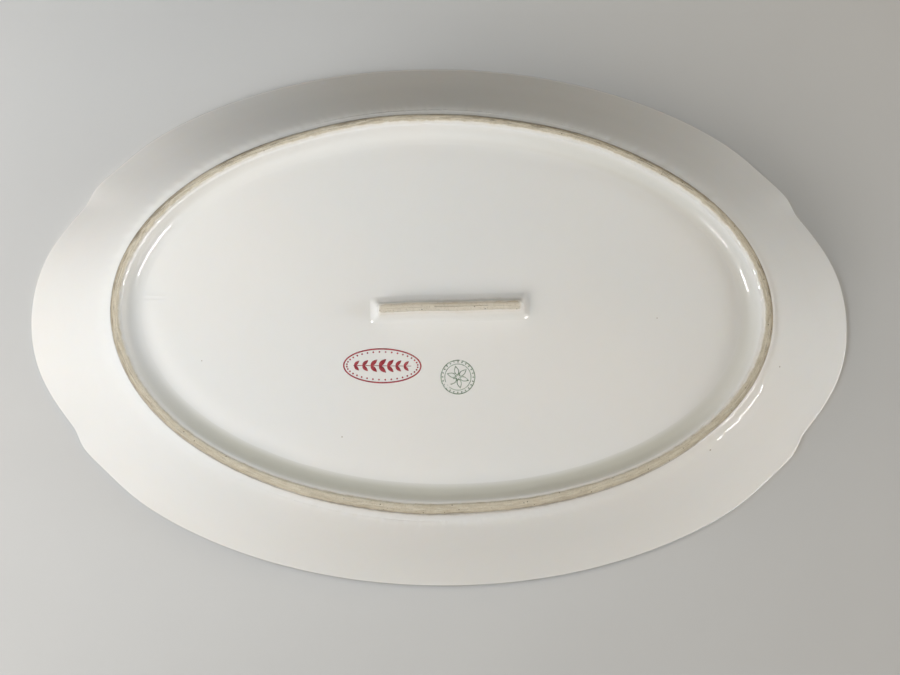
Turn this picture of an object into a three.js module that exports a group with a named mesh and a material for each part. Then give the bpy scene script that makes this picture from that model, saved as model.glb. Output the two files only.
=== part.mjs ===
// Oval porcelain serving platter with a luted foot ring and a luted support bar.
//
// Frame: millimetres, +Z up, X along the platter's length. The origin is the middle of the
// plane that the foot stands on. Every piece is thrown or pressed porcelain, joined by slip
// before firing, so nothing on it moves.
import * as THREE from 'three';

// Driving dimensions.
const LENGTH = 360;
const WIDTH = 229.5;
const HEIGHT = 36.5;
const FOOT_LENGTH = 265.8; // measured over the middle of the foot's tread
const FOOT_WIDTH = 160.1;
const FOOT_HEIGHT = 5;
const BASE_THICKNESS = 4.4;
const RIM_THICKNESS = 3.2;

// The rim's outline is an oval with two hollows beside each of its four small ears.
const OVAL_EXPONENT = 2.02;
const EAR_HOLLOWS = [
  { angle: 16.8, depth: 3.4, spreadToEnd: 5.2, spreadToSide: 1.9 },
  { angle: 24, depth: 1.5, spreadToEnd: 4, spreadToSide: 4 },
];

// The foot's section. Offsets are outwards from the middle of the tread.
const FOOT_SECTION = [
  { offset: -8, z: FOOT_HEIGHT },
  { offset: -4.6, z: 3.9 },
  { offset: -2.6, z: 2 },
  { offset: -1.9, z: 0.6 },
  { offset: -1.1, z: 0 },
  { offset: 1.1, z: 0 },
  { offset: 1.9, z: 0.6 },
  { offset: 2.4, z: 3.2 },
  { offset: 4.4, z: FOOT_HEIGHT },
];
const FOOT_REACH = FOOT_SECTION[FOOT_SECTION.length - 1].offset;

// The underside's section from the foot's outer edge (across 0) to the rim (across 1): a short
// cove beside the foot, then a nearly straight flaring wall.
const UNDERSIDE_CURVE = new THREE.SplineCurve([
  new THREE.Vector2(0, 0),
  new THREE.Vector2(0.06, 0.036),
  new THREE.Vector2(0.15, 0.122),
  new THREE.Vector2(0.35, 0.34),
  new THREE.Vector2(0.6, 0.61),
  new THREE.Vector2(0.82, 0.83),
  new THREE.Vector2(1, 1),
]);
const WALL_STEPS = 9;
const MEAN_OVERHANG = 33; // run from the foot to the rim, averaged around the platter

// The support bar under the middle of the base, a little off square to the long axis.
const BAR = {
  center: { x: 2.7, y: -1.3 },
  turn: -2.4, // degrees
  treadLength: 57,
  treadWidth: 3.2,
  baseLength: 64,
  baseWidth: 10,
  clearance: 0.4, // the tread stays this far above the plane that the foot stands on
};

// Two printed marks on the base, made as thin films of enamel.
const FILM = 0.1;
const RED_MARK = { x: -24.6, y: 22.8, halfLength: 16, halfWidth: 7.2, line: 0.55 };
const GREEN_MARK = { x: 6.3, y: 27.1, radius: 7.1, line: 0.5 };

const radians = THREE.MathUtils.degToRad;

// --- curves seen from above -----------------------------------------------------------

// Distance from the center to an oval's edge, in the direction of the angle.
function ovalRadius(angle, halfLength, halfWidth, exponent = 2) {
  const along = Math.abs(Math.cos(angle) / halfLength) ** exponent;
  const across = Math.abs(Math.sin(angle) / halfWidth) ** exponent;
  return (along + across) ** (-1 / exponent);
}

// The same angle measured from the nearer end of the long axis, 0 to 90 degrees.
function degreesFromLongAxis(angle) {
  return THREE.MathUtils.radToDeg(Math.atan2(Math.abs(Math.sin(angle)), Math.abs(Math.cos(angle))));
}

function hollowDepth(degrees, hollow) {
  const away = degrees - hollow.angle;
  const spread = away < 0 ? hollow.spreadToEnd : hollow.spreadToSide;
  return hollow.depth * Math.exp(-0.5 * (away / spread) ** 2);
}

// The hollows fade out from the rim inwards, so earStrength is 1 at the rim and less inside.
function rimRadius(angle, earStrength) {
  const degrees = degreesFromLongAxis(angle);
  const oval = ovalRadius(angle, LENGTH / 2, WIDTH / 2, OVAL_EXPONENT);
  return EAR_HOLLOWS.reduce((radius, hollow) => radius - earStrength * hollowDepth(degrees, hollow), oval);
}

function footRadius(angle, offset) {
  return ovalRadius(angle, FOOT_LENGTH / 2 + offset, FOOT_WIDTH / 2 + offset);
}

// Directions around the platter, closer together at the ears.
function ringAngles() {
  const quarter = [];
  for (let degrees = 0; degrees < 15; degrees += 3) quarter.push(degrees);
  for (let degrees = 15; degrees < 25; degrees += 1.25) quarter.push(degrees);
  for (let degrees = 25; degrees < 90; degrees += 3.25) quarter.push(degrees);
  const half = [...quarter, 90, ...quarter.slice(1).reverse().map((degrees) => 180 - degrees)];
  return [...half, ...half.map((degrees) => degrees + 180)].map(radians);
}

// --- closed bodies made of rings ------------------------------------------------------

// Rings are lists of points of equal length. Neighbouring rings are joined by faces; the
// first and last ring are joined to each other, or each is closed by a flat cap.
function ringBody(rings, caps) {
  const count = rings[0].length;
  const positions = rings.flat(2);
  const indices = [];
  const joined = caps ? rings.length - 1 : rings.length;
  for (let ring = 0; ring < joined; ring += 1) {
    const here = ring * count;
    const next = ((ring + 1) % rings.length) * count;
    for (let step = 0; step < count; step += 1) {
      const after = (step + 1) % count;
      indices.push(here + step, here + after, next + after);
      indices.push(here + step, next + after, next + step);
    }
  }
  if (caps) {
    const firstZ = rings[0][0][2];
    const lastZ = rings[rings.length - 1][0][2];
    const firstCenter = positions.length / 3;
    positions.push(0, 0, firstZ, 0, 0, lastZ);
    const lastStart = (rings.length - 1) * count;
    for (let step = 0; step < count; step += 1) {
      const after = (step + 1) % count;
      indices.push(firstCenter, after, step);
      indices.push(firstCenter + 1, lastStart + step, lastStart + after);
    }
  }
  const geometry = new THREE.BufferGeometry();
  geometry.setAttribute('position', new THREE.Float32BufferAttribute(positions, 3));
  geometry.setIndex(indices);
  geometry.computeVertexNormals();
  return geometry;
}

function ringPoints(angles, radiusAt, z) {
  return angles.map((angle) => {
    const radius = radiusAt(angle);
    return [radius * Math.cos(angle), radius * Math.sin(angle), z];
  });
}

// --- the platter's own pieces ----------------------------------------------------------

// Radius of a place on the wall: across 0 is the foot's outer edge and 1 the rim.
function wallRadius(angle, across) {
  const foot = footRadius(angle, FOOT_REACH);
  const rim = rimRadius(angle, Math.max(across, 0) ** 2);
  return THREE.MathUtils.lerp(foot, rim, across);
}

// Places on the underside and, a wall's thickness inside them, on the upper side.
function wallSections() {
  const underRise = HEIGHT - RIM_THICKNESS * 0.8 - FOOT_HEIGHT;
  const under = [];
  const upper = [];
  for (let step = 0; step <= WALL_STEPS; step += 1) {
    const share = step / WALL_STEPS;
    const place = UNDERSIDE_CURVE.getPoint(share);
    const tangent = UNDERSIDE_CURVE.getTangent(share);
    const slope = Math.atan2(tangent.y * underRise, tangent.x * MEAN_OVERHANG);
    const thickness = THREE.MathUtils.lerp(BASE_THICKNESS, RIM_THICKNESS, share);
    const z = FOOT_HEIGHT + place.y * underRise;
    under.push({ across: place.x, z });
    upper.push({
      across: place.x - (thickness * Math.sin(slope)) / MEAN_OVERHANG,
      z: z + thickness * Math.cos(slope),
    });
  }
  return { under, upper };
}

function platterBody(angles) {
  const { under, upper } = wallSections();
  const edgeUnder = under.pop();
  const edgeUpper = upper.pop();
  const floorZ = FOOT_HEIGHT + BASE_THICKNESS;
  const edgeRound = 0.3 * RIM_THICKNESS / MEAN_OVERHANG;
  const edge = [
    { across: 1 - edgeRound, z: edgeUnder.z },
    { across: 1, z: (edgeUnder.z + HEIGHT) / 2 },
    { across: 1 - edgeRound, z: HEIGHT - 0.2 },
    { across: edgeUpper.across, z: HEIGHT },
  ];
  upper[0].z = floorZ;
  const sections = [...under, ...edge, ...upper.reverse()];
  const rings = sections.map(({ across, z }) => ringPoints(angles, (angle) => wallRadius(angle, across), z));
  return ringBody(rings, true);
}

function footRing(angles) {
  const rings = FOOT_SECTION.map(({ offset, z }) => ringPoints(angles, (angle) => footRadius(angle, offset), z));
  return ringBody(rings, false);
}

// A low rib with sloping sides and ends, wide at the base and narrow at the tread.
function supportBar() {
  const levels = [
    { length: BAR.treadLength, width: BAR.treadWidth, z: BAR.clearance },
    { length: BAR.treadLength + 1.4, width: BAR.treadWidth + 1.2, z: BAR.clearance + 0.5 },
    { length: BAR.baseLength - 2, width: BAR.baseWidth - 2.6, z: FOOT_HEIGHT - 0.8 },
    { length: BAR.baseLength, width: BAR.baseWidth, z: FOOT_HEIGHT },
  ];
  const rings = levels.map(({ length, width, z }) => {
    const shape = roundedBar(length, width);
    return shape.getPoints(4).slice(0, -1).map((point) => [point.x, point.y, z]);
  });
  return ringBody(rings, true);
}

// A long rectangle with round ends' corners, counter-clockwise, drawn around its center.
function roundedBar(length, width) {
  const corner = width * 0.35;
  const x = length / 2 - corner;
  const y = width / 2 - corner;
  const path = new THREE.Path();
  path.absarc(x, y, corner, 0, Math.PI / 2);
  path.absarc(-x, y, corner, Math.PI / 2, Math.PI);
  path.absarc(-x, -y, corner, Math.PI, 1.5 * Math.PI);
  path.absarc(x, -y, corner, 1.5 * Math.PI, 2 * Math.PI);
  path.closePath();
  return path;
}

// --- the printed marks -----------------------------------------------------------------

function film(shape, curveSegments) {
  return new THREE.ExtrudeGeometry(shape, { depth: FILM, bevelEnabled: false, curveSegments });
}

// An oval frame with a laurel branch from end to end: the two openings lie above and
// below the branch, and its leaves are the bumps along them.
function laurelMark({ halfLength, halfWidth, line }) {
  const stem = 0.35;
  const leaf = 2.2;
  const leafPairs = 5;
  const steps = 40;
  const innerLength = halfLength - line;
  const innerWidth = halfWidth - line;
  const reach = innerLength * 0.93;
  const shape = new THREE.Shape();
  shape.absellipse(0, 0, halfLength, halfWidth, 0, 2 * Math.PI);
  for (const side of [1, -1]) {
    const points = [];
    for (let step = 0; step <= steps; step += 1) {
      const share = step / steps;
      const leafShape = Math.abs(Math.sin(Math.PI * leafPairs * share)) ** 0.6;
      points.push(new THREE.Vector2(reach * (2 * share - 1), side * (stem + leaf * leafShape)));
    }
    for (let step = 1; step < steps; step += 1) {
      const x = reach * (1 - (2 * step) / steps);
      points.push(new THREE.Vector2(x, side * innerWidth * Math.sqrt(1 - (x / innerLength) ** 2)));
    }
    shape.holes.push(new THREE.Path(points));
  }
  return film(shape, 24);
}

// A round frame with four petals that reach it; the openings lie between the petals.
function rosetteMark({ radius, line }) {
  const petals = 6;
  const steps = 10;
  const gap = 0.11; // radians on each side of a petal's tip
  const inner = radius - line;
  const shape = new THREE.Shape();
  shape.absarc(0, 0, radius, 0, 2 * Math.PI);
  for (let petal = 0; petal < petals; petal += 1) {
    const start = (2 * Math.PI * petal) / petals + gap;
    const sweep = (2 * Math.PI) / petals - 2 * gap;
    const arc = [];
    const petalEdge = [];
    for (let step = 0; step <= steps; step += 1) {
      const share = step / steps;
      const angle = start + sweep * share;
      const dip = 0.72 * Math.sin(Math.PI * share) ** 0.8;
      arc.push(new THREE.Vector2(inner * Math.cos(angle), inner * Math.sin(angle)));
      if (step > 0 && step < steps) {
        const distance = inner * (1 - dip);
        petalEdge.push(new THREE.Vector2(distance * Math.cos(angle), distance * Math.sin(angle)));
      }
    }
    shape.holes.push(new THREE.Path([...arc, ...petalEdge.reverse()]));
  }
  return film(shape, 32);
}

// --- the assembly ----------------------------------------------------------------------

const glaze = new THREE.MeshStandardMaterial({ color: 0xefeee9, roughness: 0.12, metalness: 0 });
const bisque = new THREE.MeshStandardMaterial({ color: 0xd8ccb4, roughness: 0.8, metalness: 0 });
const redEnamel = new THREE.MeshStandardMaterial({ color: 0xa8323c, roughness: 0.35, metalness: 0 });
const greenEnamel = new THREE.MeshStandardMaterial({ color: 0x6f9277, roughness: 0.35, metalness: 0 });

function piece(name, geometry, material) {
  const mesh = new THREE.Mesh(geometry, material);
  mesh.name = name;
  return mesh;
}

const angles = ringAngles();
const body = piece('platter_body', platterBody(angles), glaze);
const foot = piece('foot_ring', footRing(angles), bisque);

const bar = piece('support_bar', supportBar(), bisque);
bar.position.set(BAR.center.x, BAR.center.y, 0);
bar.rotation.z = radians(BAR.turn);

const redMark = piece('red_backstamp', laurelMark(RED_MARK), redEnamel);
redMark.position.set(RED_MARK.x, RED_MARK.y, FOOT_HEIGHT - FILM);

const greenMark = piece('green_backstamp', rosetteMark(GREEN_MARK), greenEnamel);
greenMark.position.set(GREEN_MARK.x, GREEN_MARK.y, FOOT_HEIGHT - FILM);

const platter = new THREE.Group();
platter.add(body, foot, bar, redMark, greenMark);

export default platter;
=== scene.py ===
# Oval porcelain serving platter, seen from beneath as the maker's marks are photographed.
#
# Metres, in the frame of the CAD model: +Z up out of the well, X along the platter, origin in
# the middle of the plane that the foot stands on.
import math

import bpy
import numpy as np
from mathutils import Matrix, Vector


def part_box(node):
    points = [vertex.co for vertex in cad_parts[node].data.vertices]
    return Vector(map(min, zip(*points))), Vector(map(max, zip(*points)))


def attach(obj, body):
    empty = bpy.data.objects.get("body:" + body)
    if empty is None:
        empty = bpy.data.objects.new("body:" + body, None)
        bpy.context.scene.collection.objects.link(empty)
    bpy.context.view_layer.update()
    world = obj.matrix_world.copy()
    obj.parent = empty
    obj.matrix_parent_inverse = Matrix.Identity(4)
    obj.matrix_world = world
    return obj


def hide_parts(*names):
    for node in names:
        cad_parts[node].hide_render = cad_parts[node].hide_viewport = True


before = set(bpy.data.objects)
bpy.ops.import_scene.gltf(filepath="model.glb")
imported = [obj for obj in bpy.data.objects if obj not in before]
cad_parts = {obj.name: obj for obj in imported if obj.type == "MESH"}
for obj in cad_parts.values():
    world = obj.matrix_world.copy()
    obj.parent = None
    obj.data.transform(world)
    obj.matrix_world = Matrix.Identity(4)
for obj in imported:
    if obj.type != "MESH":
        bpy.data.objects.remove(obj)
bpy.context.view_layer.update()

MM = 0.001

# --- dimensions ---------------------------------------------------------------------------------

# The sizes and places come from the CAD pieces' boxes. What a box can't tell is given here.
PLATTER_LOW, PLATTER_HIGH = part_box("platter_body")
FOOT_LOW, FOOT_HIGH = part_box("foot_ring")
BAR_LOW, BAR_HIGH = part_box("support_bar")
RED_LOW, RED_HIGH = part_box("red_backstamp")
GREEN_LOW, GREEN_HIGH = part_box("green_backstamp")

HALF_LENGTH = PLATTER_HIGH.x
HALF_WIDTH = PLATTER_HIGH.y
HEIGHT = PLATTER_HIGH.z
FOOT_REACH = 4.4 * MM  # from the middle of the foot's tread out to its root
FOOT_HALF_LENGTH = FOOT_HIGH.x - FOOT_REACH
FOOT_HALF_WIDTH = FOOT_HIGH.y - FOOT_REACH
BASE_Z = PLATTER_LOW.z
BASE_THICKNESS = 4.4 * MM
RIM_THICKNESS = 3.2 * MM
MEAN_OVERHANG = 33 * MM

# The rim is an oval with two hollows beside each of its four small ears.
OVAL_EXPONENT = 2.02
EAR_HOLLOWS = (  # degrees from the long axis, depth, spread towards the end and the side
    (16.8, 3.4 * MM, 5.2, 1.9),
    (24.0, 1.5 * MM, 4.0, 4.0),
)

# The underside's section from the foot's root (across 0) to the rim (across 1).
UNDERSIDE_POINTS = (
    (0, 0), (0.06, 0.036), (0.15, 0.122), (0.35, 0.34), (0.6, 0.61), (0.82, 0.83), (1, 1),
)

# The foot's section: offset outwards from the middle of the tread, and height.
FOOT_INNER_POINTS = (
    (-11.5, 5.04), (-9.2, 4.98), (-7.0, 4.78), (-5.2, 4.2), (-3.95, 3.2),
    (-3.1, 1.9), (-2.65, 1.25), (-2.1, 1.0), (-1.75, 0.75), (-1.5, 0.3),
)
BEAD = (-2.2 * MM, 0.6 * MM, 0.09 * MM)  # the glaze's thick edge: offset, spread, unevenness
FOOT_TREAD_POINTS = ((-0.8, 0.05), (0.0, 0.0), (0.8, 0.05))
FOOT_OUTER_POINTS = ((1.6, 0.35), (2.1, 1.2), (2.4, 2.6), (3.0, 3.95), (4.2, 4.86), (5.2, 5.35))
FOOT_ROOT_OVERLAP = 1.6 * MM  # how far past its root the foot runs on inside the shell

BAR_TURN = math.radians(-2.4)
BAR_TREAD = (57 * MM, 3.0 * MM)
BAR_TREAD_Z = 0.4 * MM
BAR_CORNER = 0.8 * MM
BAR_INSETS = (1.45, 1.1, 0.7, 0.35)  # millimetres in from the tread's edge, across the tread
# Distance outwards from the tread's edge, and height, down the bar's sides.
BAR_SIDE_POINTS = (
    (0.0, 0.4), (0.3, 0.5), (0.65, 1.0), (1.3, 2.7), (2.2, 4.0), (3.3, 4.7), (4.3, 5.05),
)
BAR_STEPS_AROUND = 400


# --- curves seen from above ---------------------------------------------------------------------

def oval_radius(angle, half_length, half_width, exponent=2.0):
    along = np.abs(np.cos(angle) / half_length) ** exponent
    across = np.abs(np.sin(angle) / half_width) ** exponent
    return (along + across) ** (-1 / exponent)


def ear_depth(angle):
    degrees = np.degrees(np.arctan2(np.abs(np.sin(angle)), np.abs(np.cos(angle))))
    depth = np.zeros_like(degrees)
    for place, deepest, to_end, to_side in EAR_HOLLOWS:
        away = degrees - place
        spread = np.where(away < 0, to_end, to_side)
        depth += deepest * np.exp(-0.5 * (away / spread) ** 2)
    return depth


def foot_radius(angle, offset):
    return oval_radius(angle, FOOT_HALF_LENGTH + offset, FOOT_HALF_WIDTH + offset)


def wall_radius(angle, across):
    rim = oval_radius(angle, HALF_LENGTH, HALF_WIDTH, OVAL_EXPONENT)
    rim = rim - max(across, 0) ** 2 * ear_depth(angle)
    foot = foot_radius(angle, FOOT_REACH)
    return foot + (rim - foot) * across


def smooth_curve(points, steps):
    """Points along a Catmull-Rom curve through the given ones, and the curve's direction there."""
    given = np.array(points, float)
    padded = np.vstack([given[0], given, given[-1]])
    places, directions = [], []
    for share in np.linspace(0, 1, steps + 1):
        position = share * (len(given) - 1)
        span = min(int(position), len(given) - 2)
        t = position - span
        p0, p1, p2, p3 = padded[span:span + 4]
        v0, v1 = (p2 - p0) / 2, (p3 - p1) / 2
        a = 2 * p1 - 2 * p2 + v0 + v1
        b = -3 * p1 + 3 * p2 - 2 * v0 - v1
        places.append(a * t ** 3 + b * t ** 2 + v0 * t + p1)
        directions.append(3 * a * t ** 2 + 2 * b * t + v0)
    return np.array(places), np.array(directions)


# --- the surface's own unevenness ---------------------------------------------------------------

RANDOM = np.random.default_rng(7)
WAVE_SIZES = ((95, 0.10), (70, 0.07), (52, 0.05), (41, 0.035), (33, 0.025))
WAVES = [  # length of the wave, its direction and start, and its height
    (length * MM, RANDOM.uniform(0, math.pi), RANDOM.uniform(0, 2 * math.pi), height * MM)
    for length, height in WAVE_SIZES
]

GROOVE_DEPTH = 0.45 * MM  # the base dips all round, just inside the foot
GROOVE_INWARD = 9.5 * MM
GROOVE_SPREAD = 5.5 * MM
GROOVE_WANDER = 1.0 * MM

GLAZE_RUNS = 0.12 * MM  # the glaze has run unevenly in the cove outside the foot
COVE_OUTWARD = 6.2 * MM
COVE_SPREAD = 2.6 * MM
RUNS_AROUND = (71, 113, 179)  # how many times each wave of the runs repeats round the foot


def unevenness(x, y):
    """How far the underside departs from its plain form: the hand-finished clay's slow waves,
    the shallow groove inside the foot and the glaze's runs outside it."""
    total = np.zeros_like(x)
    for length, direction, start, height in WAVES:
        phase = (x * math.cos(direction) + y * math.sin(direction)) * 2 * math.pi / length
        total += height * np.sin(phase + start)
    angle = np.arctan2(y, x)
    inward = foot_radius(angle, 0) - np.hypot(x, y)
    wander = np.sin(5 * angle + 1) + 0.7 * np.sin(11 * angle) + 0.25 * np.sin(23 * angle + 2)
    groove_place = GROOVE_INWARD + GROOVE_WANDER * wander
    groove = np.exp(-((inward - groove_place) / GROOVE_SPREAD) ** 2)
    runs = sum(np.sin(count * angle + count) for count in RUNS_AROUND) / 2
    cove = np.exp(-((inward + COVE_OUTWARD) / COVE_SPREAD) ** 2)
    return total + GROOVE_DEPTH * groove + GLAZE_RUNS * runs * cove


# --- mesh making --------------------------------------------------------------------------------

def make_mesh(name, points, faces):
    mesh = bpy.data.meshes.new(name)
    mesh.from_pydata(points, [], faces)
    mesh.validate()
    mesh.update()
    mesh.shade_smooth()
    piece = bpy.data.objects.new(name, mesh)
    bpy.context.scene.collection.objects.link(piece)
    return piece


def ring_body(name, rings, caps):
    """A closed body through rings of equal length, with its ends capped or joined to each other."""
    ring_count, count = len(rings), len(rings[0])
    points = np.concatenate(rings)
    faces = []
    for ring in range(ring_count - 1 if caps else ring_count):
        here, there = ring * count, (ring + 1) % ring_count * count
        for step in range(count):
            after = (step + 1) % count
            faces.append((here + step, here + after, there + after, there + step))
    if caps:
        first, last = rings[0].mean(axis=0), rings[-1].mean(axis=0)
        points = np.vstack([points, first, last])
        end = ring_count * count
        for step in range(count):
            after = (step + 1) % count
            faces.append((end, after, step))
            faces.append((end + 1, end - count + step, end - count + after))
    return make_mesh(name, points.tolist(), faces)


def ring_at(angles, radius, z):
    z = np.broadcast_to(z, angles.shape)
    return np.stack([radius * np.cos(angles), radius * np.sin(angles), z], axis=1)


def add_value(piece, name, values):
    attribute = piece.data.attributes.new(name, "FLOAT", "POINT")
    attribute.data.foreach_set("value", np.asarray(values, np.float32))


# --- the platter's shell ------------------------------------------------------------------------

UNDERSIDE_RISE = HEIGHT - RIM_THICKNESS * 0.8 - BASE_Z
WALL_STEPS = 60
SHELL_STEPS_AROUND = 720
MIDDLE_SHARE = 0.012  # the innermost ring's size, as a share of the foot's
EDGE_REACH = 0.025  # the share of the overhang that the rounded edge takes up


def wall_sections():
    places, directions = smooth_curve(UNDERSIDE_POINTS, WALL_STEPS)
    under, upper = [], []
    for share, place, direction in zip(np.linspace(0, 1, WALL_STEPS + 1), places, directions):
        slope = math.atan2(direction[1] * UNDERSIDE_RISE, direction[0] * MEAN_OVERHANG)
        thickness = BASE_THICKNESS + (RIM_THICKNESS - BASE_THICKNESS) * share
        z = BASE_Z + place[1] * UNDERSIDE_RISE
        shift = thickness * math.sin(slope) / MEAN_OVERHANG
        under.append((place[0], z))
        upper.append((place[0] - shift, z + thickness * math.cos(slope)))
    return under, upper


def rounded_edge(under_end, upper_end, steps=10):
    """Half a turn from the underside's end round to the upper side's end."""
    middle_z, half = (under_end[1] + upper_end[1]) / 2, (upper_end[1] - under_end[1]) / 2
    edge = []
    for turn in np.linspace(-math.pi / 2, math.pi / 2, steps + 1):
        up = (turn / math.pi + 0.5) ** 2
        base = under_end[0] + (upper_end[0] - under_end[0]) * up
        bulge = (1 - base) * math.cos(turn)
        edge.append((base + bulge, middle_z + half * math.sin(turn)))
    return edge


def platter_shell():
    angles = np.linspace(0, 2 * math.pi, SHELL_STEPS_AROUND, endpoint=False)
    under, upper = wall_sections()
    under = [(across * (1 - EDGE_REACH), z) for across, z in under]
    upper = [(across * (1 - EDGE_REACH), min(z, HEIGHT)) for across, z in upper]
    floor_z = BASE_Z + BASE_THICKNESS
    rings = []
    for share in np.linspace(MIDDLE_SHARE, 1, 90)[:-1]:
        rings.append(ring_at(angles, foot_radius(angles, FOOT_REACH) * share, BASE_Z))
    edge = rounded_edge(under[-1], (upper[-1][0], HEIGHT))
    wall = under[:-1] + edge + upper[-2:0:-1]
    rings += [ring_at(angles, wall_radius(angles, across), z) for across, z in wall]
    well_edge = upper[0][0]
    for share in np.linspace(1, MIDDLE_SHARE, 80):
        rings.append(ring_at(angles, wall_radius(angles, well_edge) * share, floor_z))
    for ring in rings:
        ring[:, 2] += unevenness(ring[:, 0], ring[:, 1]) * edge_fade(ring)
    return ring_body("porcelain_shell", rings, caps=True)


def edge_fade(ring):
    """1 over the base and wall, falling to 0 at the rim's top so that the height stays true."""
    return np.clip((HEIGHT - ring[:, 2]) / (8 * MM), 0, 1)


# --- the foot -----------------------------------------------------------------------------------

FOOT_STEPS_AROUND = 1440
TREAD_SPREAD = 4 * MM  # how far from the tread's middle its wander still shows
BEADS_AROUND = (71, 113, 157, 211)


def underside_height(angle, radius):
    """Height of the shell's underside outside the foot's root."""
    foot = foot_radius(angle, FOOT_REACH)
    across = (radius - foot) / (wall_radius(angle, 1) - foot)
    places, _ = smooth_curve(UNDERSIDE_POINTS, WALL_STEPS)
    rise = np.interp(across, places[:, 0], places[:, 1], left=0)
    return BASE_Z + rise * UNDERSIDE_RISE


def foot_sections():
    places, _ = smooth_curve(FOOT_INNER_POINTS + FOOT_TREAD_POINTS + FOOT_OUTER_POINTS, 84)
    return places * MM


def foot_wobble(angles):
    """Slow wander of the hand-fettled foot, in and out."""
    slow = np.sin(3 * angles + 0.7)
    return 0.25 * MM * (slow + 0.6 * np.sin(7 * angles + 2.0) + 0.4 * np.sin(12 * angles))


def bead_height(angles, offset):
    """The glaze's thick edge beside the tread is beaded, most of all at the platter's two ends."""
    place, spread, height = BEAD
    beads = sum(np.sin(count * angles + count) for count in BEADS_AROUND) / 2
    return height * beads * np.cos(angles) ** 2 * np.exp(-((offset - place) / spread) ** 2)


def foot_ring():
    angles = np.linspace(0, 2 * math.pi, FOOT_STEPS_AROUND, endpoint=False)
    wander = foot_wobble(angles)
    rings, offsets = [], []
    for offset, z in foot_sections():
        radius = foot_radius(angles, offset) + wander * np.exp(-(offset / TREAD_SPREAD) ** 2)
        ring = ring_at(angles, radius, z)
        ring[:, 2] += unevenness(ring[:, 0], ring[:, 1]) * np.clip(z / BASE_Z, 0, 1) ** 2
        ring[:, 2] += bead_height(angles, offset)
        rings.append(ring)
        offsets.append(np.full(len(angles), offset))
    root = FOOT_REACH + FOOT_ROOT_OVERLAP
    radius = foot_radius(angles, root)
    ring = ring_at(angles, radius, underside_height(angles, radius) + 0.06 * MM)
    ring[:, 2] += unevenness(ring[:, 0], ring[:, 1])
    rings.append(ring)
    offsets.append(np.full(len(angles), root))
    for offset in (root - 2 * MM, -8 * MM):  # the body's back, hidden inside the shell
        rings.append(ring_at(angles, foot_radius(angles, offset), BASE_Z + 1.6 * MM))
        offsets.append(np.full(len(angles), offset))
    piece = ring_body("foot_ring_porcelain", rings, caps=False)
    add_value(piece, "offset", np.concatenate(offsets) / MM)
    add_value(piece, "bare", np.concatenate([bare_distance(angles, o) for o in offsets]) / MM)
    return piece


def bare_distance(angles, offset):
    """How far a place on the foot lies inside the band wiped clean of glaze; less than 0 is glazed."""
    wide_side = np.sin(angles)
    inner = -(1.5 + 0.4 * wide_side) * MM
    outer = (1.8 + 0.3 * wide_side) * MM
    return np.minimum(offset - inner, outer - offset)


# --- the support bar ----------------------------------------------------------------------------

def round_rectangle(length, width, corner, steps=8):
    quarter = np.linspace(0, math.pi / 2, steps + 1)
    points = []
    corners = ((1, 1, 0), (-1, 1, 1), (-1, -1, 2), (1, -1, 3))
    for sign_x, sign_y, turn in corners:
        angles = quarter + turn * math.pi / 2
        x = sign_x * (length / 2 - corner) + corner * np.cos(angles)
        y = sign_y * (width / 2 - corner) + corner * np.sin(angles)
        points.append(np.stack([x, y], axis=1))
    return even_steps(np.vstack(points), BAR_STEPS_AROUND)


def even_steps(outline, count):
    """The closed outline with its points an equal distance apart."""
    closed = np.vstack([outline, outline[:1]])
    lengths = np.concatenate([[0], np.cumsum(np.linalg.norm(np.diff(closed, axis=0), axis=1))])
    places = np.linspace(0, lengths[-1], count, endpoint=False)
    return np.stack([np.interp(places, lengths, closed[:, axis]) for axis in (0, 1)], axis=1)


def support_bar():
    length, width = BAR_TREAD
    center = (BAR_LOW + BAR_HIGH) / 2
    sides, _ = smooth_curve(BAR_SIDE_POINTS, 40)
    levels = [(-inset, BAR_TREAD_Z / MM) for inset in BAR_INSETS] + [tuple(side) for side in sides]
    rings, bare, across = [], [], []
    for offset, z in levels:
        grown = offset * MM
        corner = max(BAR_CORNER + grown * 0.3, 0.15 * MM)
        corner = min(corner, width / 2 + grown - 0.02 * MM)
        outline = round_rectangle(length + 2 * grown, width + 2 * grown, corner)
        x, y = outline[:, 0], outline[:, 1]
        sway = 0.14 * MM * np.sin(x / (11 * MM)) + 0.08 * MM * np.sin(x / (4.3 * MM) + 1)
        dome = 0.05 * MM * (y / (width / 2)) ** 2 if offset <= 0 else 0
        turned_x = x * math.cos(BAR_TURN) - (y + sway) * math.sin(BAR_TURN) + center.x
        turned_y = x * math.sin(BAR_TURN) + (y + sway) * math.cos(BAR_TURN) + center.y
        share_of_base = min(max(z * MM / BASE_Z, 0), 1) ** 2
        height = z * MM + dome + unevenness(turned_x, turned_y) * share_of_base
        rings.append(np.stack([turned_x, turned_y, height], axis=1))
        bare.append(np.full(len(x), 0.15 - offset))
        across.append(-y / MM)
    inside = rings[-1].copy()
    inside[:, 2] = BASE_Z + 1 * MM
    rings.append(inside)
    bare.append(bare[-1])
    across.append(across[-1])
    piece = ring_body("support_bar_porcelain", rings[::-1], caps=True)
    ends = [np.full(1, bare[-1][0]), np.full(1, bare[0][0])]
    add_value(piece, "bare", np.concatenate(bare[::-1] + ends))
    add_value(piece, "offset", np.concatenate(across[::-1] + [np.zeros(2)]))
    return piece


# --- a short line pressed into the base by the mould --------------------------------------------

MOULD_LINE = ((-124.2 * MM, -3.9 * MM), (-112.4 * MM, -4.1 * MM))  # its two ends
MOULD_LIP = (0.14 * MM, 1.6 * MM)  # height and spread of the clay pushed up beside the line
MOULD_CUT = (0.30 * MM, 0.42 * MM)  # depth and spread of the line itself
MOULD_REACH = 3.2  # millimetres from the line to the patch's border


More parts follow.
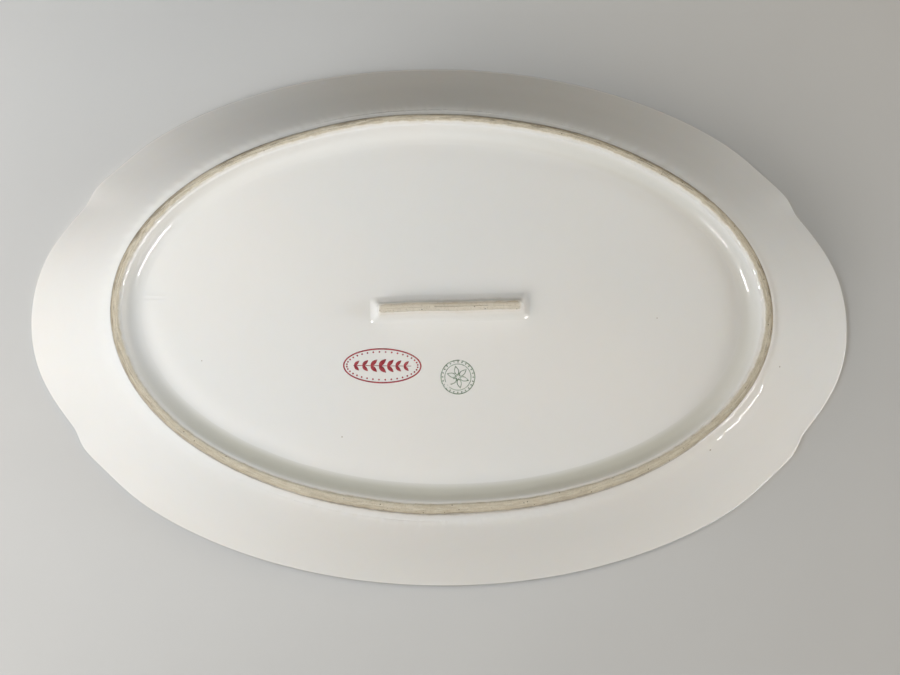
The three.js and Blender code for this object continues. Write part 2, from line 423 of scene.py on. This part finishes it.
def mould_line():
    """A thin patch of clay that swells a little and has the line pressed along its middle."""
    (start_x, start_y), (end_x, end_y) = MOULD_LINE
    lip_height, lip_spread = MOULD_LIP
    cut_depth, cut_spread = MOULD_CUT
    across = np.linspace(-MOULD_REACH, MOULD_REACH, 65) * MM
    sunk = 0.04 * MM  # the patch's border lies this far inside the base, so it doesn't show
    rings = []
    for share in np.linspace(0, 1, 49):
        full = math.sin(math.pi * share) ** 0.6
        x = np.full_like(across, start_x + (end_x - start_x) * share)
        y = start_y + (end_y - start_y) * share + across
        lip = lip_height * np.exp(-(across / lip_spread) ** 2)
        cut = cut_depth * np.exp(-(across / cut_spread) ** 2)
        base = BASE_Z + unevenness(x, y)
        top = np.stack([x, y, base - full * (lip - cut) + sunk * (1.2 - full)], axis=1)
        bottom = np.stack([x[::-1], y[::-1], base[::-1] + 0.3 * MM], axis=1)
        rings.append(np.vstack([top, bottom]))
    return ring_body("mould_line", rings, caps=True)


# --- the printed marks --------------------------------------------------------------------------

PRINT_PROUD = 0.03 * MM
PRINT_SUNK = 0.12 * MM


def ring_strokes(half_length, half_width, line, steps=160):
    """An oval line, as an outer and an inner outline."""
    turn = np.linspace(0, 2 * math.pi, steps, endpoint=False)
    outer = np.stack([half_length * np.cos(turn), half_width * np.sin(turn)], axis=1)
    inner_length, inner_width = half_length - line, half_width - line
    inner = np.stack([inner_length * np.cos(turn), inner_width * np.sin(turn)], axis=1)
    return outer, inner


def leaf_outline(base, direction, length, width, steps=12):
    """A pointed leaf from its base, in a direction in radians."""
    along = np.linspace(0, 1, steps + 1)
    side = width / 2 * np.sin(math.pi * along ** 0.8) ** 0.9
    x = np.concatenate([along, along[-2:0:-1]]) * length
    y = np.concatenate([side, -side[-2:0:-1]])
    return np.stack([
        base[0] + x * math.cos(direction) - y * math.sin(direction),
        base[1] + x * math.sin(direction) + y * math.cos(direction),
    ], axis=1)


def print_film(name, center, outlines):
    """A thin film of ink that follows the base. Each outline is a list of loops: one edge, or an
    outer and an inner edge."""
    points, faces = [], []
    for loops in outlines:
        count = len(loops[0])
        start = len(points)
        for z_side in (-PRINT_PROUD, PRINT_SUNK):
            for loop in loops:
                for x, y in loop:
                    points.append((center.x + x, center.y + y, z_side))
        top, bottom = start, start + count * len(loops)
        for step in range(count):
            after = (step + 1) % count
            if len(loops) == 2:
                hole, hole_bottom = top + count, bottom + count
                faces.append((top + after, top + step, hole + step, hole + after))
                faces.append((bottom + step, bottom + after, hole_bottom + after, hole_bottom + step))
                faces.append((hole + after, hole + step, hole_bottom + step, hole_bottom + after))
            faces.append((top + step, top + after, bottom + after, bottom + step))
        if len(loops) == 1:
            faces.append(tuple(top + step for step in reversed(range(count))))
            faces.append(tuple(bottom + step for step in range(count)))
    placed = np.array(points)
    placed[:, 2] += BASE_Z + unevenness(placed[:, 0], placed[:, 1])
    return make_mesh(name, placed.tolist(), faces)


def red_print():
    """An oval frame around a laurel branch, with a row of dots inside the frame."""
    center = (RED_LOW + RED_HIGH) / 2
    half_length, half_width = (RED_HIGH.x - RED_LOW.x) / 2, (RED_HIGH.y - RED_LOW.y) / 2
    frame_line = 0.6 * MM
    dot_radius, dot_inset = 0.36 * MM, 1.5 * MM
    leaf_length, leaf_width, leaf_lean = 4.0 * MM, 1.8 * MM, 0.75
    outlines = [ring_strokes(half_length, half_width, frame_line)]
    dots = 36
    for dot in range(dots):
        turn = 2 * math.pi * (dot + 0.5) / dots
        x = (half_length - dot_inset) * math.cos(turn)
        y = (half_width - dot_inset) * math.sin(turn)
        outlines.append([ring_strokes(dot_radius, dot_radius, 0, 12)[0] + (x, y)])
    stem_reach = half_length - 4.2 * MM
    thick, thin = 0.16 * MM, 0.1 * MM
    stem = [(-stem_reach, -thick), (stem_reach, -thin), (stem_reach, thin), (-stem_reach, thick)]
    outlines.append([np.array(stem)])
    pairs = 7
    for pair in range(pairs):
        x = stem_reach * (2 * (pair + 0.1) / pairs - 1)
        size = 1 - 0.3 * abs(2 * pair / (pairs - 1) - 1)
        for side in (1, -1):
            base = (x, side * thin)
            leaf = leaf_outline(base, side * leaf_lean, leaf_length * size, leaf_width * size)
            outlines.append([leaf])
    return print_film("red_print", center, outlines)


def green_print():
    """A double ring around a six-petalled rosette."""
    center = (GREEN_LOW + GREEN_HIGH) / 2
    radius = (GREEN_HIGH.x - GREEN_LOW.x) / 2
    tick_place, tick_length, tick_width = radius - 1.25 * MM, 0.9 * MM, 0.55 * MM
    inner_radius = radius - 1.6 * MM
    petal_start, petal_length, petal_width = 0.5 * MM, 4.3 * MM, 2.0 * MM
    petal_hollow = 0.68  # the inner edge of a petal's line, as a share of the outer
    outlines = [
        ring_strokes(radius, radius, 0.42 * MM),
        ring_strokes(inner_radius, inner_radius, 0.3 * MM),
    ]
    petals = 6
    for petal in range(petals):
        direction = 2 * math.pi * petal / petals + 0.3
        base = (petal_start * math.cos(direction), petal_start * math.sin(direction))
        outer = leaf_outline(base, direction, petal_length, petal_width)
        middle = outer.mean(axis=0)
        outlines.append([outer, middle + (outer - middle) * petal_hollow])
    ticks = 24
    for tick in range(ticks):
        direction = 2 * math.pi * tick / ticks
        base = (tick_place * math.cos(direction), tick_place * math.sin(direction))
        outlines.append([leaf_outline(base, direction, tick_length, tick_width, 6)])
    return print_film("green_print", center, outlines)


# --- materials ----------------------------------------------------------------------------------

GLAZE_ROUGHNESS = 0.42  # of the clay seen through the glaze
COAT_ROUGHNESS = 0.03
GLAZE_IOR = 1.5


class Nodes:
    """A material's node tree, with short calls to add and join nodes."""

    def __init__(self, name):
        self.material = bpy.data.materials.new(name)
        self.material.use_nodes = True
        self.tree = self.material.node_tree
        self.tree.nodes.clear()
        self.output = self.add("ShaderNodeOutputMaterial")
        self.place = self.add("ShaderNodeTexCoord").outputs["Object"]

    def add(self, kind, **settings):
        node = self.tree.nodes.new(kind)
        for name, value in settings.items():
            setattr(node, name, value)
        return node

    def join(self, source, socket):
        if isinstance(source, bpy.types.NodeSocket):
            self.tree.links.new(source, socket)
        else:
            socket.default_value = source

    def math(self, operation, first, second=0.0, third=None):
        node = self.add("ShaderNodeMath", operation=operation)
        self.join(first, node.inputs[0])
        self.join(second, node.inputs[1])
        if third is not None:
            self.join(third, node.inputs[2])
        return node.outputs[0]

    def multiply(self, first, second, third):
        return self.math("MULTIPLY", self.math("MULTIPLY", first, second), third)

    def noise(self, scale, detail=3.0, roughness=0.55, vector=None):
        node = self.add("ShaderNodeTexNoise")
        self.join(vector or self.place, node.inputs["Vector"])
        node.inputs["Scale"].default_value = scale
        node.inputs["Detail"].default_value = detail
        node.inputs["Roughness"].default_value = roughness
        return node.outputs["Fac"]

    def range(self, value, from_low, from_high, to_low=0.0, to_high=1.0):
        node = self.add("ShaderNodeMapRange", interpolation_type="SMOOTHSTEP")
        for socket, given in zip(node.inputs[:5], (value, from_low, from_high, to_low, to_high)):
            self.join(given, socket)
        return node.outputs[0]

    def mix(self, factor, first, second):
        node = self.add("ShaderNodeMix", data_type="RGBA")
        self.join(factor, node.inputs[0])
        self.join(first, node.inputs[6])
        self.join(second, node.inputs[7])
        return node.outputs[2]

    def axis(self, name):
        """One coordinate of the place on the object: X, Y or Z."""
        node = self.add("ShaderNodeSeparateXYZ")
        self.join(self.place, node.inputs[0])
        return node.outputs[name]

    def combine(self, x, y, z):
        node = self.add("ShaderNodeCombineXYZ")
        for socket, value in zip(node.inputs, (x, y, z)):
            self.join(value, socket)
        return node.outputs[0]

    def attribute(self, name):
        return self.add("ShaderNodeAttribute", attribute_name=name).outputs["Fac"]

    def specks(self, scale, share, size):
        """1 inside sparse round dots: a share of the cells holds one dot of that size."""
        near = self.add("ShaderNodeTexVoronoi", feature="F1")
        self.join(self.place, near.inputs["Vector"])
        near.inputs["Scale"].default_value = scale
        dot = self.range(near.outputs["Distance"], size * scale, size * scale * 0.5)
        channel = self.add("ShaderNodeSeparateColor")
        self.join(near.outputs["Color"], channel.inputs[0])
        chosen = self.math("GREATER_THAN", channel.outputs[0], 1 - share)
        return self.math("MULTIPLY", dot, chosen)

    def bump(self, height, strength, distance, normal=None):
        node = self.add("ShaderNodeBump")
        self.join(height, node.inputs["Height"])
        node.inputs["Strength"].default_value = strength
        node.inputs["Distance"].default_value = distance
        if normal is not None:
            self.join(normal, node.inputs["Normal"])
        return node.outputs["Normal"]

    def shader(self, color, roughness, normal, coat=1.0, coat_normal=None, subsurface=0.0):
        """The surface itself, under a clear coat. It gives back the shader's node."""
        node = self.add("ShaderNodeBsdfPrincipled")
        self.join(color, node.inputs["Base Color"])
        self.join(roughness, node.inputs["Roughness"])
        self.join(normal, node.inputs["Normal"])
        self.join(coat, node.inputs["Coat Weight"])
        if coat_normal is not None:
            self.join(coat_normal, node.inputs["Coat Normal"])
        node.inputs["Coat Roughness"].default_value = COAT_ROUGHNESS
        node.inputs["Coat IOR"].default_value = GLAZE_IOR
        node.inputs["Specular IOR Level"].default_value = 0.25
        node.inputs["Subsurface Weight"].default_value = subsurface
        node.inputs["Subsurface Radius"].default_value = (1.0, 0.8, 0.6)
        node.inputs["Subsurface Scale"].default_value = 1.5 * MM
        self.tree.links.new(node.outputs[0], self.output.inputs["Surface"])
        return node


GLAZE_WHITE = (0.82, 0.80, 0.765, 1)
GLAZE_COOL = (0.80, 0.795, 0.775, 1)
# Greenish grey of thick glaze, also used as painted shade in the hollow inside the foot.
GLAZE_POOLED_AND_SHADE = (0.64, 0.625, 0.55, 1)
SPECK_BROWN = (0.30, 0.22, 0.15, 1)

# Iron specks that show through the glaze: place and radius.
IRON_SPECKS = (
    (140.1 * MM, 21.2 * MM, 0.45 * MM),
    (110.0 * MM, 55.8 * MM, 0.5 * MM),
    (88.3 * MM, 1.9 * MM, 0.3 * MM),
    (-40.4 * MM, 51.8 * MM, 0.35 * MM),
    (-98.0 * MM, 21.5 * MM, 0.3 * MM),
)


def underside_place(x, y):
    angle, radius = np.array([math.atan2(y, x)]), np.array([math.hypot(x, y)])
    return Vector((x, y, underside_height(angle, radius)[0]))


def iron_specks(nodes):
    """1 inside the specks."""
    total = None
    for x, y, radius in IRON_SPECKS:
        away = nodes.add("ShaderNodeVectorMath", operation="DISTANCE")
        nodes.join(nodes.place, away.inputs[0])
        away.inputs[1].default_value = underside_place(x, y)
        dot = nodes.range(away.outputs["Value"], radius, radius * 0.5)
        total = dot if total is None else nodes.math("MAXIMUM", total, dot)
    return total


def glaze_color(nodes):
    cloud = nodes.range(nodes.noise(9, 2), 0.35, 0.65)
    color = nodes.mix(cloud, GLAZE_WHITE, GLAZE_COOL)
    mottle = nodes.range(nodes.noise(160, 4, 0.6), 0.3, 0.75, 0.0, 0.03)
    color = nodes.mix(mottle, color, GLAZE_POOLED_AND_SHADE)
    dots = nodes.math("MULTIPLY", nodes.specks(95, 0.035, 0.32 * MM), 0.7)
    color = nodes.mix(dots, color, SPECK_BROWN)
    return nodes.mix(nodes.math("MULTIPLY", iron_specks(nodes), 0.8), color, SPECK_BROWN)


def glaze_normals(nodes):
    """The clay's slow ripple under the glaze, and the glaze's own finer skin over it."""
    ripple = nodes.bump(nodes.noise(55, 2), 0.25, 0.4 * MM)
    skin = nodes.bump(nodes.noise(420, 2, 0.4), 0.12, 0.05 * MM, ripple)
    return ripple, skin


def glaze_material():
    nodes = Nodes("glazed_porcelain_body")
    ripple, skin = glaze_normals(nodes)
    nodes.shader(glaze_color(nodes), GLAZE_ROUGHNESS, ripple, 1.0, skin, subsurface=0.12)
    return nodes.material


CLAY_PALE = (0.68, 0.625, 0.51, 1)
CLAY_CREAM = (0.75, 0.69, 0.585, 1)
CLAY_TAN = (0.56, 0.49, 0.375, 1)
CLAY_GRIT = (0.42, 0.36, 0.27, 1)
CLAY_STAINED_AND_SHADED = (0.37, 0.31, 0.22, 1)
CLAY_THINLY_GLAZED = (0.76, 0.69, 0.57, 1)
# Dark brown of dirt, also used for the painted shadow beside the bare bands.
DIRT_AND_SHADOW_BROWN = (0.13, 0.105, 0.075, 1)


def pooled_glaze_and_painted_shade(nodes):
    """How thick the glaze lies in the hollow inside the foot, 0 to 1, with painted shade: strongest
    along the +Y side and towards +X.
    """
    offset = nodes.attribute("offset")
    hollow = nodes.math("MULTIPLY", nodes.range(offset, -11, -7), nodes.range(offset, -2.2, -4.0))
    end = nodes.range(nodes.axis("X"), -20 * MM, 80 * MM, 0.05, 0.4)
    side = nodes.range(nodes.axis("Y"), 10 * MM, 65 * MM)
    return nodes.math("MULTIPLY", hollow, nodes.math("MAXIMUM", end, side))


# How worn the two unglazed treads are, and how much painted shade they carry. The shaded side gives
# the places along +Y where dirt and painted shade start and are strongest, and the painted edge
# shadow is a painted shadow beside the band, with its reach in millimetres. The others are shares
# from 0 to 1.
RING_WEAR_AND_SHADE = {
    "clay": CLAY_PALE,
    "shaded_side": (70 * MM, -10 * MM),
    "streaks": 1.0,
    "stain_and_shade": 1.0,
    "tan": 0.9,
    "painted_edge_shadow": 0.9,
    "painted_edge_shadow_reach": 0.8,
}
BAR_WEAR_AND_SHADE = {
    "clay": CLAY_CREAM,
    "shaded_side": (10 * MM, 0.0),
    "streaks": 0.12,
    "stain_and_shade": 0.75,
    "tan": 0.3,
    "painted_edge_shadow": 0.6,
    "painted_edge_shadow_reach": 2.4,
}


def stained_and_shaded_clay(nodes, wear, dirt_and_shade, streaks, grit, grain):
    """The bare band's colour: tan in places, gritty, stained and streaked with dirt, and darkened by
    painted shade on the shaded side.
    """
    offset = nodes.attribute("offset")
    clay = nodes.mix(nodes.range(grain, 0.35, 0.62, wear["tan"], 0.1), wear["clay"], CLAY_TAN)
    clay = nodes.mix(nodes.range(grit, 0.52, 0.70, 0, 0.6), clay, CLAY_GRIT)
    # Darker over the band's outer half: a stain, with painted shade that grows towards the shaded
    # side.
    outer_half = nodes.range(offset, 0.1, 1.5)
    stained_and_shaded = nodes.multiply(outer_half, dirt_and_shade, wear["stain_and_shade"])
    clay = nodes.mix(stained_and_shaded, clay, CLAY_STAINED_AND_SHADED)
    near_streaks = nodes.range(offset, -1.2, 0.6, 0.3, 1.0)
    streak = nodes.multiply(nodes.range(streaks, 0.45, 0.63), near_streaks, dirt_and_shade)
    clay = nodes.mix(nodes.math("MULTIPLY", streak, 0.7 * wear["streaks"]), clay, DIRT_AND_SHADOW_BROWN)
    pits = nodes.math("MULTIPLY", nodes.specks(700, 0.12, 0.34 * MM), 0.8)
    return nodes.mix(pits, clay, DIRT_AND_SHADOW_BROWN)


def footed_material(name, stretch, wear):
    """Glaze that thins out over a band of bare porcelain, grained by the wheel and stained by dirt
    along the band's outer half. Painted shade darkens the band towards the shaded side, a painted
    shadow runs beside its outer edge, and painted shade darkens the hollow inside the foot."""
    nodes = Nodes(name)
    ripple, skin = glaze_normals(nodes)
    wander = nodes.range(nodes.noise(300, 4, 0.6), 0.2, 0.8, -0.3, 0.3)
    depth = nodes.math("ADD", nodes.attribute("bare"), wander)
    bare = nodes.range(depth, -0.3, 0.3)
    # Painted shade: the stain and streaks grow darker towards the shaded side along Y; the patches are
    # the dirt's own.
    side = nodes.range(nodes.axis("Y"), *wear["shaded_side"], 0.35, 1.0)
    patches = nodes.range(nodes.noise(30, 3, 0.6), 0.36, 0.6, 0.5, 1.0)
    dirt_and_shade = nodes.math("MULTIPLY", side, patches)
    grain = nodes.noise(1.0, 4, 0.65, stretch(nodes, 220, 1.3))
    streaks = nodes.noise(1.0, 3, 0.6, stretch(nodes, 190, 2.6))
    grit = nodes.noise(1500, 3, 0.7)
    clay = stained_and_shaded_clay(nodes, wear, dirt_and_shade, streaks, grit, grain)
    # The hollow inside the foot is tinted by pooled glaze and darkened by painted shade.
    glaze = nodes.mix(pooled_glaze_and_painted_shade(nodes), glaze_color(nodes), GLAZE_POOLED_AND_SHADE)
    color = nodes.mix(bare, glaze, clay)
    # Painted shadow: a dark band along the bare band's outer edge (on the bar, its -Y side), in the
    # dirt's brown and broken into patches.
    painted_edge_shadow = nodes.multiply(
        nodes.range(depth, -wear["painted_edge_shadow_reach"], 0.0),
        nodes.range(depth, 0.5, 0.0),
        nodes.range(nodes.attribute("offset"), 0.6, 1.4),
    )
    stain_and_shade = nodes.math("MULTIPLY", nodes.math("MULTIPLY", painted_edge_shadow, wear["painted_edge_shadow"]), patches)
    color = nodes.mix(stain_and_shade, color, DIRT_AND_SHADOW_BROWN)
    thin_glaze = nodes.multiply(nodes.range(depth, -1.3, -0.1), nodes.range(depth, 0.3, -0.1), 0.35)
    color = nodes.mix(thin_glaze, color, CLAY_THINLY_GLAZED)
    roughness = nodes.range(bare, 0, 1, GLAZE_ROUGHNESS, 0.9)
    coat = nodes.range(bare, 0.2, 0.8, 1.0, 0.0)
    rough_height = nodes.math("MULTIPLY", nodes.math("ADD", streaks, grit), bare)
    normal = nodes.bump(rough_height, 0.6, 0.25 * MM, ripple)
    nodes.shader(color, roughness, normal, coat, skin)
    return nodes.material


def ring_grain(nodes, along, across):
    """Coordinates that stretch the grain along the foot: fine across it, slow along it."""
    return nodes.combine(
        nodes.math("MULTIPLY", nodes.axis("X"), along),
        nodes.math("MULTIPLY", nodes.axis("Y"), along),
        nodes.math("MULTIPLY", nodes.attribute("offset"), across),
    )


def bar_grain(nodes, along, across):
    """The same for the straight bar."""
    return nodes.combine(
        nodes.math("MULTIPLY", nodes.axis("X"), along),
        nodes.math("MULTIPLY", nodes.axis("Y"), across / MM),
        0.0,
    )


def ink_material(name, ink, faded, wear):
    """Printed colour under a thin gloss, thinner in places and gone in a few."""
    nodes = Nodes(name)
    ripple, skin = glaze_normals(nodes)
    density = nodes.range(nodes.noise(420, 4, 0.65), 0.3, 0.7)
    color = nodes.mix(density, faded, ink)
    gone = nodes.range(nodes.noise(300, 3, 0.6), 1 - wear, 1 - wear + 0.07)
    color = nodes.mix(gone, color, GLAZE_WHITE)
    nodes.shader(color, 0.45, ripple, 0.9, skin)
    return nodes.material


def floor_material(name, color, glow):
    """A plain pale sheet, seen only from the side that it faces. The glow evens out how the
    light falls off with distance."""
    nodes = Nodes(name)
    shade = nodes.mix(nodes.range(nodes.noise(14, 3), 0.3, 0.7, 0, 0.06), color, (0.4, 0.4, 0.4, 1))
    surface = nodes.shader(shade, 0.9, nodes.bump(nodes.noise(900, 2), 0.1, 0.1 * MM), 0.0)
    surface.inputs["Emission Color"].default_value = (1.0, 1.0, 0.99, 1)
    surface.inputs["Emission Strength"].default_value = glow
    mixer = nodes.add("ShaderNodeMixShader")
    nodes.join(nodes.add("ShaderNodeNewGeometry").outputs["Backfacing"], mixer.inputs[0])
    nodes.join(surface.outputs[0], mixer.inputs[1])
    nodes.join(nodes.add("ShaderNodeBsdfTransparent").outputs[0], mixer.inputs[2])
    nodes.join(mixer.outputs[0], nodes.output.inputs["Surface"])
    return nodes.material


# --- pieces on the frame ------------------------------------------------------------------------

def finish_piece(piece, node, material):
    piece.data.materials.append(material)
    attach(piece, "root")
    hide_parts(node)


FOOT_PORCELAIN = footed_material("foot_porcelain", ring_grain, RING_WEAR_AND_SHADE)
BAR_PORCELAIN = footed_material("bar_porcelain", bar_grain, BAR_WEAR_AND_SHADE)
BODY_PORCELAIN = glaze_material()
finish_piece(platter_shell(), "platter_body", BODY_PORCELAIN)
finish_piece(foot_ring(), "foot_ring", FOOT_PORCELAIN)
finish_piece(support_bar(), "support_bar", BAR_PORCELAIN)
RED_INK = ink_material("red_ink", (0.27, 0.012, 0.025, 1), (0.45, 0.07, 0.08, 1), 0.30)
GREEN_INK = ink_material("green_ink", (0.13, 0.19, 0.125, 1), (0.40, 0.47, 0.37, 1), 0.42)
finish_piece(mould_line(), "platter_body", BODY_PORCELAIN)
finish_piece(red_print(), "red_backstamp", RED_INK)
finish_piece(green_print(), "green_backstamp", GREEN_INK)


# --- stage --------------------------------------------------------------------------------------

def sheet(name, z, faces_up, color, glow):
    """A large pale sheet. It never shades the platter, so the one out of sight does no harm."""
    half = 4.0
    corners = [(-half, -half, z), (half, -half, z), (half, half, z), (-half, half, z)]
    order = (0, 1, 2, 3) if faces_up else (3, 2, 1, 0)
    piece = make_mesh(name, corners, [order])
    piece.data.materials.append(floor_material(name + "_paper", color, glow))
    for ray in ("visible_diffuse", "visible_glossy", "visible_transmission", "visible_shadow"):
        setattr(piece, ray, False)


PAPER_LIT_FROM_ABOVE = (0.42, 0.42, 0.415, 1)
PAPER_LIT_FROM_BELOW = (0.56, 0.56, 0.555, 1)
sheet("floor_under_foot", 0.0, True, PAPER_LIT_FROM_ABOVE, 0.26)
sheet("floor_under_rim", HEIGHT + 0.3 * MM, False, PAPER_LIT_FROM_BELOW, 0.0)


# --- light and camera ---------------------------------------------------------------------------

def area_light(name, direction, distance, size, power, color, lights):
    """A flat light looking at the platter. Direction is azimuth and elevation in degrees, with
    azimuth counter-clockwise from +X and elevation below 0 for a light beneath the platter.
    A light on the shade alone leaves no mirror image in the glaze, and one on the gloss is all
    mirror image."""
    azimuth, elevation = map(math.radians, direction)
    level = math.cos(elevation)
    towards = Vector((math.cos(azimuth) * level, math.sin(azimuth) * level, math.sin(elevation)))
    data = bpy.data.lights.new(name, "AREA")
    data.shape = "RECTANGLE"
    data.size, data.size_y = size
    data.energy = power
    data.color = color
    light = bpy.data.objects.new(name, data)
    light.location = towards * distance + Vector((0, 0, HEIGHT / 2))
    light.rotation_mode = "QUATERNION"
    light.rotation_quaternion = (-towards).to_track_quat("-Z", "Y")
    light.visible_camera = False
    light.visible_glossy = lights != "shade"
    light.visible_diffuse = lights != "gloss"
    bpy.context.scene.collection.objects.link(light)


BIG = (0.5, 0.5)
LIGHTS = (
    ("under_right_low", (0, -13), 1.2, BIG, 8.2, (0.80, 0.86, 0.93), "shade"),
    ("under_far_low", (45, -13), 1.2, BIG, 3.2, (1.0, 0.84, 0.63), "shade"),
    ("under_key", (135, -30), 1.2, BIG, 7.9, (1.0, 0.98, 0.94), "shade"),
    ("under_near_left", (180, -35), 0.5, (0.3, 0.3), 1.2, (1.0, 0.93, 0.86), "shade"),
    ("under_left_high", (200, -60), 0.5, (0.3, 0.3), 0.5, (0.20, 0.56, 0.95), "shade"),
    ("under_near", (300, -52), 1.2, BIG, 3.0, (1.0, 0.74, 0.38), "shade"),
    ("window_right", (29, -60), 1.2, (0.46, 0.035), 7.5, (1.0, 1.0, 1.0), "gloss"),
    ("window_left", (131, -58), 1.2, (0.18, 0.02), 1.7, (1.0, 1.0, 1.0), "gloss"),
    ("window_far", (167, -63), 1.2, (0.20, 0.035), 3.6, (1.0, 1.0, 1.0), "gloss"),
    ("window_low", (27, -9), 1.4, (0.42, 0.035), 1.2, (1.0, 1.0, 1.0), "gloss"),
    ("over_key", (215, 50), 1.6, (0.9, 0.9), 22.0, (1.0, 0.98, 0.96), "shade"),
    ("over_key_sheen", (215, 50), 1.6, (0.9, 0.9), 6.0, (1.0, 0.98, 0.96), "gloss"),
    ("over_fill", (20, 40), 1.8, (1.2, 1.2), 9.0, (0.97, 0.98, 1.0), "both"),
)
for light in LIGHTS:
    area_light(*light)

WALL_BRIGHTNESS = 0.42
ROOM_LIGHT = 0.018
world = bpy.data.worlds.new("soft_room")
world.use_nodes = True
background = world.node_tree.nodes["Background"]
background.inputs["Color"].default_value = (1.0, 1.0, 0.99, 1)
# The wall behind the floor looks pale, but gives hardly any light.
brightness = world.node_tree.nodes.new("ShaderNodeMath")
brightness.operation = "MULTIPLY_ADD"
brightness.inputs[1].default_value = WALL_BRIGHTNESS
brightness.inputs[2].default_value = ROOM_LIGHT
seen = world.node_tree.nodes.new("ShaderNodeLightPath").outputs["Is Camera Ray"]
world.node_tree.links.new(seen, brightness.inputs[0])
world.node_tree.links.new(brightness.outputs[0], background.inputs["Strength"])
bpy.context.scene.world = world
bpy.context.scene.view_settings.view_transform = "Standard"

# The platter lies face down and is seen from the foot's side, from a little towards +Y.
CAMERA_PLACE = Vector((-4.71, 54.33, -394.28)) * MM
CAMERA_TILT = math.radians(6.209)
CAMERA_PAN = math.radians(1.090)
CAMERA_ROLL = math.radians(-0.614)
LENS = 39.2  # millimetres, on a sensor 36 wide

camera_data = bpy.data.cameras.new("camera")
camera_data.lens = LENS
camera_data.sensor_width = 36
camera_data.clip_start, camera_data.clip_end = 0.01, 50
camera = bpy.data.objects.new("camera", camera_data)
bpy.context.scene.collection.objects.link(camera)
tilted = Matrix.Rotation(CAMERA_PAN, 3, "Y") @ Matrix.Rotation(-CAMERA_TILT, 3, "X")
turned = Matrix.Rotation(CAMERA_ROLL, 3, "Z") @ tilted
face_down = Matrix.Rotation(math.pi, 3, "X")
camera.matrix_world = Matrix.Translation(CAMERA_PLACE) @ (face_down @ turned.transposed()).to_4x4()
bpy.context.scene.camera = camera
